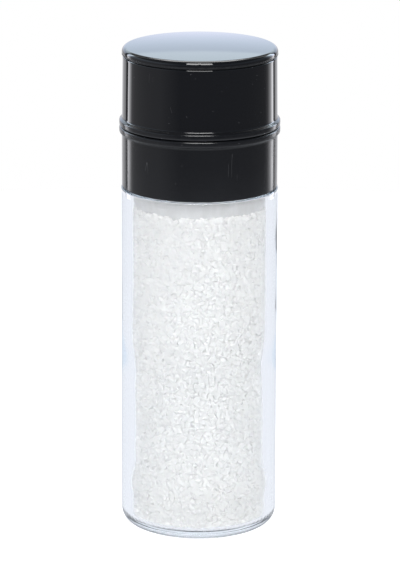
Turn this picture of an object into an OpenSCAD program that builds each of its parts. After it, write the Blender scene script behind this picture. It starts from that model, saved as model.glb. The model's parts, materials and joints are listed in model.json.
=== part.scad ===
// Hand-turned salt mill: a glass jar of coarse salt, a twist head with ceramic burrs and a pull-off cap.
// Millimetres, +Z up, origin in the middle of the jar's standing ring.

/* [Jar] */
// Outer diameter of the glass body
jar_d = 48; // [40:0.5:60]
// Height of the full-width glass, from the table to the step under the collar
jar_h = 107.2; // [85:0.1:135]
// Height of the narrower land that goes on up inside the collar
land_h = 4.4; // [3.6:0.1:6]
// How far the land is set in from the body
land_in = 1.3; // [1.1:0.1:1.5]
// Radius of the rounded heel
heel_r = 4.6; // [3:0.1:6]
// Radius of the shoulder's outer edge, over the land
shoulder_r = 0.9; // [0.6:0.1:1.4]
// Glass thickness over the standing ring
base_t = 3; // [2.4:0.1:5]
// Wall just above the base and below the shoulder
wall_thin = 2.8; // [2:0.1:4]
// Wall over the upper half
wall_mid = 3.5; // [2.5:0.1:5]
// Wall in the lower third, where the glass is thickest
wall_thick = 4.6; // [3:0.1:6]
// Depth of the hollow under the base
punt_depth = 1.6; // [0.8:0.1:2.5]
// Width of the ring that the jar stands on
standing_w = 3.2; // [2:0.1:5]
// Wall of the neck
neck_wall = 2.4; // [1.8:0.1:3.2]
// How far the neck's thread stands out
thread_h = 0.9; // [0.6:0.1:1.2]
// Distance from the step down to the salt
headspace = 4.7; // [3:0.1:30]

/* [Twist head] */
// Height of the collar, from its lower edge to the seam under the cap
collar_h = 18.75; // [16:0.05:25]
// Wall of the collar's skirt
collar_wall = 1.8; // [1.5:0.1:2.6]
// How far the bead stands out from the collar
bead_out = 0.8; // [0.4:0.1:1.5]
// Height of each of the bead's two ridges
ridge_h = 2.1; // [1.2:0.1:3]
// Height of the ring that the cap slides over
spigot_h = 5; // [3:0.1:7]
// Thickness of the bridge's ring and spokes
bridge_t = 2; // [1.5:0.1:3]
// Width of a bridge spoke
spoke_w = 4.2; // [3:0.1:6]
// Wall of the carrier that screws on the neck
carrier_wall = 1.4; // [1:0.1:2]
// Thickness of the carrier's deck
deck_t = 1.6; // [1.2:0.1:2.4]
// Thickness of the jar's gasket
gasket_t = 1; // [0.6:0.1:2]

/* [Burrs] */
// Height of the fixed burr
stator_h = 9.4; // [7:0.1:12]
// Wall of the fixed burr at its top
stator_wall = 3.4; // [2.6:0.1:4]
// Gap between the burrs at the outlet
burr_gap = 0.5; // [0.4:0.05:1]
// How much the burrs open towards the jar
burr_mouth = 1.5; // [1:0.1:2.5]
// How much both cones narrow towards the jar
burr_cone = 2; // [1:0.1:3]
// Teeth on the fixed burr
stator_teeth = 24; // [16:1:32]
// Teeth on the turning burr
rotor_teeth = 12; // [8:1:18]
// Slant of the teeth, in degrees
tooth_slant = 24; // [0:1:35]

/* [Spindle and knob] */
// Side of the spindle's square
square_w = 4.6; // [4:0.1:6]
// Diameter of the spindle's threaded ends
thread_d = 4.2; // [3.6:0.1:5]
// Wire of the burr spring
wire_d = 0.7; // [0.5:0.05:1]
// Diameter of the adjuster knob
knob_d = 17; // [13:0.5:20]
// Flutes around the knob
knob_flutes = 12; // [8:1:18]
// How far the burr can open from its rest setting
open_travel = 0.8; // [0.4:0.1:1.2]

/* [Cap] */
// Height of the cap's wall, from its lower edge to the seam under the disc
cap_h = 21.6; // [18:0.1:28]
// Wall of the cap at its thinnest
cap_wall = 1.2; // [0.9:0.1:2]
// How much narrower the cap is at the top, on the radius
cap_draft = 0.2; // [0:0.05:0.4]
// Roof of the cap
roof_t = 2.4; // [2:0.1:3.5]
// Height of the disc's rim
disc_rim = 2.3; // [1.5:0.1:3]
// Rise of the disc's face
disc_dome = 0.8; // [0.3:0.1:1.5]
// Room between the knob and the cap's liner
cap_headroom = 4.7; // [4:0.1:8]

/* [Hidden] */
$fn = 96;
eps = 0.01;

// Fits
run_gap = 0.08;     // radial, turning fits
slide_gap = 0.12;   // radial, the cap on its spigot
seat_gap = 0.02;    // between pieces fixed to each other
free_gap = 0.3;     // between pieces that pass without touching
edge_gap = 0.15;    // the seam between the two ridges of the bead

// Heights up the head
jar_r = jar_d / 2;
collar_z = jar_h + 0.4;
seam_z = collar_z + collar_h;
bridge_top = seam_z - 1;
bridge_z = bridge_top - bridge_t;
shelf_t = 1.5;
shelf_z = bridge_z - shelf_t;
slip_t = 0.45;
deck_top = shelf_z - slip_t - 0.05;
deck_z = deck_top - deck_t;
neck_top = deck_z - gasket_t;
stator_z = deck_top - stator_h;
lip_t = 1.2;
salt_z = jar_h - headspace;
shoulder_z = jar_h + land_h;
skirt_z = shoulder_z + 0.5;

// Radii of the head, from the outside in
collar_r = jar_r - 0.2;
land_r = jar_r - land_in;
lip_ri = land_r + free_gap;
collar_ri = collar_r - collar_wall;
bead_r = collar_r + bead_out;
carrier_r = collar_ri - run_gap;
carrier_ri = carrier_r - carrier_wall;
crest_r = carrier_ri - free_gap;
neck_r = crest_r - thread_h;
neck_ri = neck_r - neck_wall;
holder_r = neck_ri - 0.8;
holder_wall = 1.3;
stator_r = holder_r - holder_wall;
stator_ri = stator_r - stator_wall;
rib_out = 0.7;
rib_h = 1.4;
rib_z = skirt_z + 1;
shelf_ri = holder_r + 1.3;

// Burrs and spindle
rotor_r = stator_ri - burr_gap;
rotor_h = stator_h + 0.4;
rotor_z = stator_z - 0.3;
recess_r = 5.2;
recess_d = 4;
seat_t = 0.4;
washer_t = 0.8;
nut_t = 2.6;
nut_r = 4.6;
hub_r = 6.2;
hub_top = bridge_top + 2.65;
close_travel = open_travel / 2;

// Cap, knob and disc
cap_r = collar_r - 0.05;
cap_ri = cap_r - cap_draft - cap_wall;
spigot_r = cap_ri - slide_gap;
spigot_ri = spigot_r - 1.5;
cap_z = seam_z + edge_gap;
cap_top = cap_z + cap_h;
roof_z = cap_top - roof_t;
liner_t = 1;
knob_washer_t = 0.45;
knob_z = hub_top + knob_washer_t + 0.05;
knob_top = roof_z - liner_t - cap_headroom;
knob_roof = 1.2;
insert_r = 3.8;
spindle_top = knob_top - knob_roof - open_travel - 0.3;
groove_h = 0.35;
disc_z = cap_top + groove_h;
disc_r = cap_r + 0.05;
disc_neck_r = disc_r - 0.6;
plug_r = cap_ri - 2.4;
plug_h = 1.1;

// Smooth change from 0 to 1 as t goes from a to b
function ease(t, a, b) = let (u = min(1, max(0, (t - a) / (b - a)))) u * u * (3 - 2 * u);

// Points of an arc about c, from angle a0 to a1
function arc(c, r, a0, a1, n = 8) =
    [for (i = [0 : n]) let (a = a0 + (a1 - a0) * i / n) c + r * [cos(a), sin(a)]];

// Inner radius of the jar at height z: thin at both ends, thickest in the lower third
function bore_r(z) =
    let (t = z / jar_h)
    let (wall = wall_thin + (wall_thick - wall_thin) * ease(t, 0.11, 0.19)
        - (wall_thick - wall_mid) * ease(t, 0.44, 0.56)
        - (wall_mid - wall_thin) * ease(t, 0.78, 0.88))
    jar_r - wall;

// Points up the inside of the jar between two heights
function bore_points(z0, z1, gap, n = 30) =
    [for (i = [0 : n]) let (z = z0 + (z1 - z0) * i / n) [bore_r(z) - gap, z]];

module ring(ro, ri, h) {
    difference() {
        cylinder(r = ro, h = h);
        translate([0, 0, -1]) cylinder(r = ri, h = h + 2);
    }
}

module around(n) {
    for (i = [0 : n - 1]) rotate(360 * i / n) children();
}

// Jar
inner_corner = 1.4;
step_r = 0.4;
throat_r = 2.2;
throat_edge = 0.9;
throat_z = shoulder_z - 2.2;

module glass_jar() {
    color("lightcyan", 0.4) {
        rotate_extrude() polygon(concat(
            [[0, punt_depth]],
            arc([jar_r - heel_r - standing_w - 1.6, 0], punt_depth, 90, 0, 6),
            [[jar_r - heel_r - standing_w, 0]],
            arc([jar_r - heel_r, heel_r], heel_r, -90, 0, 10),
            arc([jar_r - step_r, jar_h - step_r], step_r, 0, 90, 4),
            [[land_r, jar_h]],
            arc([land_r - shoulder_r, shoulder_z - shoulder_r], shoulder_r, 0, 90, 6),
            [[neck_r, shoulder_z], [neck_r, neck_top - 0.7]],
            arc([neck_r - 0.7, neck_top - 0.7], 0.7, 0, 90, 5),
            arc([neck_ri + 0.5, neck_top - 0.5], 0.5, 90, 180, 4),
            arc([neck_ri + throat_edge, throat_z + throat_edge], throat_edge, 180, 270, 4),
            arc([bore_r(jar_h) - throat_r, throat_z - throat_r], throat_r, 90, 0, 8),
            bore_points(throat_z - throat_r - 0.4, base_t + inner_corner + 0.2, 0),
            arc([bore_r(base_t) - inner_corner, base_t + inner_corner], inner_corner, 0, -90, 6),
            [[0, base_t + punt_depth * 0.6]]
        ));
        neck_thread();
    }
}

// Interrupted thread: each short arc sits a step lower than the one before it
thread_arcs = 6;
thread_pitch = 3;

module neck_thread() {
    top = neck_top - 2.2;
    for (i = [0 : thread_arcs - 1])
        rotate(i * 360 / thread_arcs)
            translate([0, 0, top - i * thread_pitch / thread_arcs])
                rotate_extrude(angle = 48)
                    polygon([[neck_r - 0.4, 0.7], [crest_r, 0.25], [crest_r, -0.25], [neck_r - 0.4, -0.9]]);
}

module salt_fill() {
    gap = 0.15;
    color("white") rotate_extrude() polygon(concat(
        [[0, base_t + punt_depth * 0.6 + gap]],
        arc([bore_r(base_t) - inner_corner - gap, base_t + inner_corner + gap], inner_corner, -90, 0, 6),
        bore_points(base_t + inner_corner + gap, salt_z, gap),
        [[0, salt_z]]
    ));
}

// Carrier, fixed burr and gasket
module neck_gasket() {
    color("whitesmoke") translate([0, 0, neck_top]) ring(neck_r, neck_ri + 0.3, gasket_t);
}

module burr_carrier() {
    holder_z = stator_z - lip_t;
    holder_ri = stator_r + seat_gap;
    mouth_r = stator_ri - burr_cone + burr_mouth + 1.4;
    rib_r = carrier_r + rib_out;
    color("dimgray") rotate_extrude() polygon([
        [mouth_r, holder_z], [holder_r, holder_z], [holder_r, deck_z],
        [carrier_ri, deck_z], [carrier_ri, skirt_z], [carrier_r, skirt_z],
        [carrier_r, rib_z], [rib_r, rib_z], [rib_r, rib_z + rib_h], [carrier_r, rib_z + rib_h],
        [carrier_r, deck_top], [holder_ri, deck_top], [holder_ri, stator_z], [mouth_r, stator_z]
    ]);
}

// Grooves cut along a cone, slanted like the teeth of a burr
module tooth_grooves(n, r, z, h, deep, slant) {
    around(n) translate([r, 0, z + h / 2]) rotate([slant, 0, 0]) rotate(45)
        cube([deep, deep, h * 1.7], center = true);
}

module stator_burr() {
    bottom_ri = stator_ri - burr_cone + burr_mouth;
    color("ivory") translate([0, 0, stator_z]) difference() {
        cylinder(r = stator_r, h = stator_h);
        translate([0, 0, -eps])
            cylinder(r1 = bottom_ri, r2 = stator_ri, h = stator_h + 2 * eps);
        tooth_grooves(stator_teeth, (bottom_ri + stator_ri) / 2, 0, stator_h, 1.3, tooth_slant);
    }
}

module stator_clip() {
    clip_r = holder_r + 0.7;
    color("silver") translate([0, 0, deck_top]) difference() {
        ring(clip_r, stator_ri + 1.2, slip_t);
        around(3) translate([clip_r, 0, -1]) cylinder(r = 1, h = 3);
    }
}

// Collar and bridge
module grip_collar() {
    round_r = 0.6;
    groove_r = carrier_r + rib_out + run_gap;
    color("black") difference() {
        rotate_extrude() polygon(concat(
            [[collar_ri, shoulder_z + free_gap], [lip_ri, shoulder_z + free_gap], [lip_ri, collar_z]],
            [[collar_r - 0.15, collar_z], [collar_r, collar_z + 0.15]],
            arc([collar_r + 0.3, seam_z - ridge_h - 0.3], 0.3, 180, 90, 4),
            arc([bead_r - round_r, seam_z - ridge_h + round_r], round_r, -90, 0, 5),
            arc([bead_r - round_r, seam_z - round_r], round_r, 0, 90, 5),
            [[spigot_r, seam_z], [spigot_r, seam_z + spigot_h - 0.5]],
            [[spigot_r - 0.5, seam_z + spigot_h], [spigot_ri, seam_z + spigot_h]],
            [[spigot_ri, bridge_z], [shelf_ri, bridge_z], [shelf_ri, shelf_z], [collar_ri, shelf_z]]
        ));
        translate([0, 0, rib_z - run_gap]) ring(groove_r, collar_ri - 1, rib_h + 2 * run_gap);
        screw_places() translate([0, 0, shelf_z + 0.3]) cylinder(r = screw_r + seat_gap, h = shelf_t);
    }
}

screw_r = 0.9;
screw_ring_r = (shelf_ri + spigot_ri) / 2;

module screw_places() {
    around(3) rotate(30) translate([screw_ring_r, 0, 0]) children();
}

module drive_bridge() {
    ring_r = spigot_ri - seat_gap;
    color([0.12, 0.12, 0.12]) difference() {
        union() {
            translate([0, 0, bridge_z]) ring(ring_r, shelf_ri + 0.2, bridge_t);
            translate([0, 0, bridge_z]) cylinder(r = hub_r, h = hub_top - bridge_z);
            around(3) rotate(60) translate([0, -spoke_w / 2, bridge_z])
                cube([shelf_ri + 1, spoke_w, bridge_t]);
        }
        translate([0, 0, (bridge_z + hub_top) / 2])
            cube([square_w + 2 * run_gap, square_w + 2 * run_gap, hub_top], center = true);
        screw_places() translate([0, 0, bridge_z - 1]) cylinder(r = screw_r + seat_gap, h = bridge_t + 2);
    }
}

module bridge_screws() {
    head_h = 0.9;
    color("silver") screw_places() difference() {
        union() {
            translate([0, 0, shelf_z + 0.4]) cylinder(r = screw_r, h = bridge_top - shelf_z - 0.4);
            translate([0, 0, bridge_top]) cylinder(r1 = 1.55, r2 = 1.2, h = head_h);
        }
        around(2) translate([-0.15, -0.9, bridge_top + head_h - 0.4]) cube([0.3, 1.8, 1]);
        translate([-0.9, -0.15, bridge_top + head_h - 0.4]) cube([1.8, 0.3, 1]);
    }
}

module slip_washer() {
    color("white") translate([0, 0, shelf_z - slip_t]) ring(collar_ri - 0.4, shelf_ri + 0.2, slip_t);
}

// Spindle, turning burr and spring
module rotor_spindle() {
    square_z = rotor_z - washer_t - nut_t - 0.6;
    square_top = hub_top + 0.3 - close_travel;
    color("silver") {
        translate([0, 0, square_z]) cylinder(d = thread_d, h = spindle_top - square_z);
        translate([-square_w / 2, -square_w / 2, rotor_z + 0.5])
            cube([square_w, square_w, square_top - rotor_z - 0.5]);
    }
}

module rotor_burr() {
    r_low = rotor_r - burr_cone;
    color("ivory") translate([0, 0, rotor_z]) difference() {
        union() {
            cylinder(r1 = r_low, r2 = rotor_r, h = rotor_h - 0.8);
            translate([0, 0, rotor_h - 0.8]) cylinder(r1 = rotor_r, r2 = rotor_r - 0.6, h = 0.8);
        }
        tooth_grooves(rotor_teeth, (r_low + rotor_r) / 2 + 0.2, 0, rotor_h, 2, -tooth_slant);
        translate([0, 0, rotor_h - recess_d]) cylinder(r = recess_r, h = recess_d + 1);
        translate([-square_w / 2 - seat_gap, -square_w / 2 - seat_gap, 0.5])
            cube([square_w + 2 * seat_gap, square_w + 2 * seat_gap, rotor_h]);
        translate([0, 0, -1]) cylinder(d = thread_d + 2 * seat_gap, h = 3);
    }
}

module rotor_washer() {
    color("silver") translate([0, 0, rotor_z - washer_t])
        ring(nut_r + 0.4, thread_d / 2 + seat_gap, washer_t);
}

module rotor_nut() {
    color("silver") translate([0, 0, rotor_z - washer_t - nut_t]) difference() {
        cylinder(r = nut_r, h = nut_t, $fn = 6);
        translate([0, 0, -1]) cylinder(d = thread_d + 2 * seat_gap, h = nut_t + 2);
    }
}

seat_z = rotor_z + rotor_h - recess_d;
spring_z = seat_z + seat_t;
spring_r = square_w * 0.71 + wire_d / 2 + 0.35;

module spring_seat() {
    color("silver") translate([0, 0, seat_z]) difference() {
        cylinder(r = recess_r - 0.1, h = seat_t);
        translate([0, 0, -1]) cylinder(r = square_w * 0.71 + 0.1, h = seat_t + 2);
    }
}

// Compression spring swept along its own helix
spring_turns = 3;
spring_steps = 20;
wire_sides = 8;

module burr_spring() {
    low = spring_z + wire_d / 2 + eps;
    high = bridge_z - wire_d / 2 - eps;
    rings = spring_turns * spring_steps;
    points = [for (i = [0 : rings], k = [0 : wire_sides - 1])
        let (a = 360 * i / spring_steps, b = 360 * k / wire_sides)
        let (r = spring_r + wire_d / 2 * cos(b))
        [r * cos(a), r * sin(a), low + (high - low) * i / rings + wire_d / 2 * sin(b)]];
    sides = [for (i = [0 : rings - 1], k = [0 : wire_sides - 1])
        let (m = (k + 1) % wire_sides, p = i * wire_sides, q = p + wire_sides)
        [p + k, p + m, q + m, q + k]];
    ends = [
        [for (k = [0 : wire_sides - 1]) wire_sides - 1 - k],
        [for (k = [0 : wire_sides - 1]) rings * wire_sides + k]
    ];
    color("lightsteelblue") polyhedron(points, concat(sides, ends), convexity = 8);
}

// Adjuster
module adjuster_knob() {
    knob_r = knob_d / 2;
    color([0.15, 0.15, 0.15]) difference() {
        rotate_extrude() polygon(concat(
            [[0, knob_z], [knob_r - 1, knob_z], [knob_r, knob_z + 1]],
            arc([knob_r - 2, knob_top - 1.4], 1.4, 0, 90, 6) ,
            [[0, knob_top]]
        ));
        around(knob_flutes) translate([knob_r + 0.6, 0, knob_z - 1]) cylinder(r = 1.4, h = knob_top);
        translate([0, 0, knob_z - 1]) cylinder(r = insert_r + seat_gap, h = 7);
        translate([0, 0, knob_z]) cylinder(d = thread_d + 1, h = knob_top - knob_roof - knob_z);
    }
}

module knob_insert() {
    color("goldenrod") translate([0, 0, knob_z + 0.8])
        ring(insert_r, thread_d / 2 + run_gap, 5.2);
}

module knob_washer() {
    color("white") translate([0, 0, knob_z - knob_washer_t])
        ring(hub_r - 0.4, square_w * 0.71 + 0.4, knob_washer_t);
}

// Cap
module cap_shell() {
    round_r = 0.6;
    wall_z = cap_z + ridge_h + 0.8;
    top_r = cap_r - cap_draft;
    color("black") difference() {
        rotate_extrude() polygon(concat(
            [[0, roof_z], [cap_ri - 0.8, roof_z], [cap_ri, roof_z - 0.8], [cap_ri, cap_z + 0.4]],
            [[cap_ri + 0.4, cap_z]],
            arc([bead_r - round_r, cap_z + round_r], round_r, -90, 0, 5),
            arc([bead_r - round_r, cap_z + ridge_h - round_r], round_r, 0, 70, 4),
            [[cap_r + 0.12, cap_z + ridge_h + 0.15], [cap_r, wall_z]],
            arc([top_r - 0.5, cap_top - 0.5], 0.5, 0, 90, 5),
            [[0, cap_top]]
        ));
        translate([0, 0, cap_top - plug_h]) cylinder(r = plug_r + seat_gap, h = plug_h + 1);
    }
}

module top_disc() {
    face_r = disc_r - 1.4;
    face_z = disc_z + disc_rim;
    color("black") rotate_extrude() polygon(concat(
        [[0, cap_top - plug_h], [plug_r, cap_top - plug_h], [plug_r, cap_top]],
        [[disc_neck_r, cap_top], [disc_neck_r, disc_z], [disc_r - 0.25, disc_z], [disc_r - 0.05, disc_z + 0.2]],
        [for (i = [0 : 6]) let (a = 90 * i / 6)
            [face_r + 1.4 * cos(a), disc_z + 0.9 + (disc_rim - 0.9) * sin(a)]],
        [for (i = [1 : 6]) let (u = 1 - i / 6) [face_r * u, face_z + disc_dome * (1 - u * u)]]
    ));
}

module cap_liner() {
    color("gainsboro") translate([0, 0, roof_z - liner_t]) cylinder(r = cap_ri - 1.6, h = liner_t);
}

glass_jar();
salt_fill();
neck_gasket();
burr_carrier();
stator_burr();
stator_clip();
grip_collar();
drive_bridge();
bridge_screws();
slip_washer();
rotor_spindle();
rotor_burr();
rotor_washer();
rotor_nut();
spring_seat();
burr_spring();
adjuster_knob();
knob_insert();
knob_washer();
cap_shell();
top_disc();
cap_liner();
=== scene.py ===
import bpy
import json
import math
import numpy as np
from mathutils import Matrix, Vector

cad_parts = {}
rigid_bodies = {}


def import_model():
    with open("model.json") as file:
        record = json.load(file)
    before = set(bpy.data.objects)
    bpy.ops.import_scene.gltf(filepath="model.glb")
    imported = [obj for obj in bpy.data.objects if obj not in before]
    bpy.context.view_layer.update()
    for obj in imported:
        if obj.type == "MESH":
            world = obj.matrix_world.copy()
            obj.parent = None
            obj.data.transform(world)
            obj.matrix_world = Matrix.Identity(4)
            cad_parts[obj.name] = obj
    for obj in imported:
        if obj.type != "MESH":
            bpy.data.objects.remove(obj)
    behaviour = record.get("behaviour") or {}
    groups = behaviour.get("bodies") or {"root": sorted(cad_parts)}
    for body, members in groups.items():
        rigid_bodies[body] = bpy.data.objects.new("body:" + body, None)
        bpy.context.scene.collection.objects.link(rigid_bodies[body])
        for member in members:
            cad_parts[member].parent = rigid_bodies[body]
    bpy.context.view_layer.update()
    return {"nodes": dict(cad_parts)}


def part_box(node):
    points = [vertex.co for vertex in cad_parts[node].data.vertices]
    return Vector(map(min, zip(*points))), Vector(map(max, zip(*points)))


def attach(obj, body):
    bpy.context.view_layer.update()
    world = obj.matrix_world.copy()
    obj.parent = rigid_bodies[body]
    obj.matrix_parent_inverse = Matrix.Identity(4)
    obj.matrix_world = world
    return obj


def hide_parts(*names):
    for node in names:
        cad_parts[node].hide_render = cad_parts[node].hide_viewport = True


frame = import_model()
mm = 0.001
tau = 2 * math.pi


def clearSelection():
    if bpy.context.object and bpy.context.object.mode != "OBJECT":
        bpy.ops.object.mode_set(mode="OBJECT")
    bpy.ops.object.select_all(action="DESELECT")


def pick(piece):
    clearSelection()
    piece.select_set(True)
    bpy.context.view_layer.objects.active = piece


def applyAll(piece):
    pick(piece)
    for modifier in list(piece.modifiers):
        bpy.ops.object.modifier_apply(modifier=modifier.name)


def settle(piece):
    # place, turn and size go into the mesh, so the object itself sits at the origin
    pick(piece)
    bpy.ops.object.transform_apply(location=True, rotation=True, scale=True)


def cleanShell(piece, mergeDistance=0.004 * mm):
    pick(piece)
    bpy.ops.object.mode_set(mode="EDIT")
    bpy.ops.mesh.select_all(action="SELECT")
    bpy.ops.mesh.remove_doubles(threshold=mergeDistance)
    bpy.ops.mesh.normals_make_consistent(inside=False)
    bpy.ops.object.mode_set(mode="OBJECT")


def smoothByAngle(piece, degrees=35):
    pick(piece)
    bpy.ops.object.shade_smooth_by_angle(angle=math.radians(degrees))


def arcPoints(cx, cz, radius, start, end, steps):
    turns = [math.radians(start + (end - start) * i / steps) for i in range(steps + 1)]
    return [(cx + radius * math.cos(a), cz + radius * math.sin(a)) for a in turns]


def linePoints(a, b, steps):
    return [(a[0] + (b[0] - a[0]) * i / steps, a[1] + (b[1] - a[1]) * i / steps) for i in range(steps + 1)]


def ease(value, start, end):
    u = min(1, max(0, (value - start) / (end - start)))
    return u * u * (3 - 2 * u)


def turned(name, outline, steps=192):
    # the outline is drawn point by point in the XZ plane, then turned round Z
    clearSelection()
    points = [outline[0]] + [b for a, b in zip(outline, outline[1:]) if math.dist(a, b) > 0.002 * mm]
    bpy.ops.mesh.primitive_plane_add(size=1 * mm, location=(points[0][0], 0, points[0][1]))
    piece = bpy.context.object
    piece.name = name
    settle(piece)
    bpy.ops.object.mode_set(mode="EDIT")
    bpy.ops.mesh.select_all(action="SELECT")
    bpy.ops.mesh.merge(type="CENTER")
    for a, b in zip(points, points[1:]):
        step = (b[0] - a[0], 0, b[1] - a[1])
        bpy.ops.mesh.extrude_vertices_move(TRANSFORM_OT_translate={"value": step})
    bpy.ops.object.mode_set(mode="OBJECT")
    turn = piece.modifiers.new("turn", "SCREW")
    turn.axis = "Z"
    turn.angle = tau
    turn.steps = turn.render_steps = steps
    turn.use_merge_vertices = True
    turn.merge_threshold = 0.003 * mm
    applyAll(piece)
    cleanShell(piece)
    return piece


def vertexTable(piece):
    co = np.empty(len(piece.data.vertices) * 3, np.float32)
    piece.data.vertices.foreach_get("co", co)
    return co.reshape(-1, 3)


def setVertexTable(piece, co):
    piece.data.vertices.foreach_set("co", co.astype(np.float32).ravel())
    piece.data.update()


def setRadius(co, radius, wanted):
    # each vertex slides along its own radius
    scale = np.where(radius > 1e-6, wanted / np.maximum(radius, 1e-6), 1)
    co[:, 0] *= scale
    co[:, 1] *= scale


def place(piece, body, slotName, material, *nodes):
    piece.data.materials.clear()
    piece.data.materials.append(material)
    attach(piece, body)
    if nodes:
        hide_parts(*nodes)
    return piece


def feed(tree, value, socket):
    # another node's output is linked, a number or a colour is set
    if isinstance(value, bpy.types.NodeSocket):
        tree.links.new(value, socket)
    elif socket.type == "RGBA":
        socket.default_value = (*value, 1)
    else:
        socket.default_value = value


def feedNamed(tree, node, **named):
    for label, value in named.items():
        feed(tree, value, node.inputs[label.replace("_", " ")])


def addNode(tree, kind, *values, settings=None, **named):
    # values go to the inputs in their order, named ones to the inputs of that name
    node = tree.nodes.new(kind)
    for key, value in (settings or {}).items():
        setattr(node, key, value)
    for socket, value in zip(node.inputs, values):
        feed(tree, value, socket)
    feedNamed(tree, node, **named)
    return node


def calc(tree, operation, *values):
    return addNode(tree, "ShaderNodeMath", *values, settings={"operation": operation}).outputs[0]


def remap(tree, value, fromLow, fromHigh, toLow, toHigh):
    return addNode(tree, "ShaderNodeMapRange", value, fromLow, fromHigh, toLow, toHigh).outputs["Result"]


def onPiece(tree):
    return addNode(tree, "ShaderNodeTexCoord").outputs["Object"]


def noise(tree, where, scale, detail=2):
    return addNode(tree, "ShaderNodeTexNoise", Vector=where, Scale=scale, Detail=detail).outputs["Fac"]


def drawnOut(tree, where, scale, turn=(0, 0, 0)):
    return addNode(tree, "ShaderNodeMapping", Vector=where, Rotation=turn, Scale=scale).outputs["Vector"]


def mixColours(tree, factor, first, second, blend="MIX"):
    mix = addNode(tree, "ShaderNodeMix", factor, settings={"data_type": "RGBA", "blend_type": blend})
    for socket, value in zip([s for s in mix.inputs if s.type == "RGBA"], (first, second)):
        feed(tree, value, socket)
    return [s for s in mix.outputs if s.type == "RGBA"][0]


def mixShaders(tree, factor, first, second):
    return addNode(tree, "ShaderNodeMixShader", factor, first, second).outputs[0]


def newGroup(name, inputs, outputs):
    # every socket of a group carries one number
    group = bpy.data.node_groups.new(name, "ShaderNodeTree")
    for label, value in inputs.items():
        socket = group.interface.new_socket(label, in_out="INPUT", socket_type="NodeSocketFloat")
        socket.default_value = value
    for label in outputs:
        group.interface.new_socket(label, in_out="OUTPUT", socket_type="NodeSocketFloat")
    return group, group.nodes.new("NodeGroupInput").outputs, group.nodes.new("NodeGroupOutput")


def buildMouldGrain():
    # fine surface grain with slow drifts in gloss
    group, source, sink = newGroup(
        "mouldGrain", {"Grain Scale": 4000, "Drift Scale": 60, "Rough Low": 0.1, "Rough High": 0.2},
        ("Height", "Rough", "Drift"))
    where = onPiece(group)
    grain = noise(group, where, source["Grain Scale"], 3)
    drift = noise(group, where, source["Drift Scale"], 4)
    rough = remap(group, drift, 0.3, 0.7, source["Rough Low"], source["Rough High"])
    feedNamed(group, sink, Height=grain, Rough=rough, Drift=drift)
    return group


def buildDustSpecks():
    # scattered dust and short hairline scratches, 1 where one lies
    group, source, sink = newGroup(
        "dustSpecks", {"Speck Scale": 420, "Speck Size": 0.05, "Keep": 0.75,
                       "Scratch Scale": 240, "Scratch Width": 0.004},
        ("Specks", "Scratches"))
    where = onPiece(group)
    cells = addNode(group, "ShaderNodeTexVoronoi", Vector=where, Scale=source["Speck Scale"]).outputs
    near = calc(group, "LESS_THAN", cells["Distance"], source["Speck Size"])
    tint = addNode(group, "ShaderNodeSeparateColor", cells["Color"]).outputs["Red"]
    chosen = calc(group, "GREATER_THAN", tint, source["Keep"])
    slant = drawnOut(group, where, (1, 1, 0.09), (0.5, 0.35, 0.2))
    hair = noise(group, slant, source["Scratch Scale"], 1)
    fromMiddle = calc(group, "ABSOLUTE", calc(group, "SUBTRACT", hair, 0.5))
    thin = calc(group, "LESS_THAN", fromMiddle, source["Scratch Width"])
    rare = calc(group, "GREATER_THAN", noise(group, where, 130), 0.63)
    feedNamed(group, sink, Specks=calc(group, "MULTIPLY", near, chosen),
              Scratches=calc(group, "MULTIPLY", thin, rare))
    return group


def buildLatheMarks():
    # fine rings round Z, as a turned or brushed metal face has
    group, source, sink = newGroup(
        "latheMarks", {"Ring Scale": 9000, "Rough Low": 0.2, "Rough High": 0.4}, ("Height", "Rough"))
    where = onPiece(group)
    flat = addNode(group, "ShaderNodeVectorMath", where, (1, 1, 0), settings={"operation": "MULTIPLY"})
    radius = addNode(group, "ShaderNodeVectorMath", flat.outputs["Vector"], settings={"operation": "LENGTH"})
    height = addNode(group, "ShaderNodeSeparateXYZ", where).outputs["Z"]
    both = addNode(group, "ShaderNodeCombineXYZ", radius.outputs["Value"], height).outputs["Vector"]
    rings = noise(group, both, source["Ring Scale"])
    rough = remap(group, rings, 0, 1, source["Rough Low"], source["Rough High"])
    feedNamed(group, sink, Height=rings, Rough=rough)
    return group


def buildWornBand():
    # extra roughness within a reach of one height, patchy along it
    group, source, sink = newGroup("wornBand", {"Middle": 0.1, "Reach": 0.002, "Rough": 0.3}, ("Rough",))
    where = onPiece(group)
    height = addNode(group, "ShaderNodeSeparateXYZ", where).outputs["Z"]
    apart = calc(group, "ABSOLUTE", calc(group, "SUBTRACT", height, source["Middle"]))
    near = calc(group, "LESS_THAN", apart, source["Reach"])
    patchy = remap(group, noise(group, where, 600), 0.35, 0.6, 0.5, 1)
    amount = calc(group, "MULTIPLY", patchy, source["Rough"])
    feedNamed(group, sink, Rough=calc(group, "MULTIPLY", near, amount))
    return group


mouldGrain = buildMouldGrain()
wornBand = buildWornBand()
dustSpecks = buildDustSpecks()
latheMarks = buildLatheMarks()


def addGroup(tree, group, **values):
    return addNode(tree, "ShaderNodeGroup", settings={"node_tree": group}, **values).outputs


def newMaterial(name, colour, **shader):
    material = bpy.data.materials.new(name)
    material.use_nodes = True
    tree = material.node_tree
    bsdf = tree.nodes["Principled BSDF"]
    feedNamed(tree, bsdf, Base_Color=colour, **shader)
    return material, tree, bsdf


def addBump(tree, bsdf, height, strength, distance):
    bump = addNode(tree, "ShaderNodeBump", Strength=strength, Distance=distance, Height=height)
    feedNamed(tree, bsdf, Normal=bump.outputs["Normal"])


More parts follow.
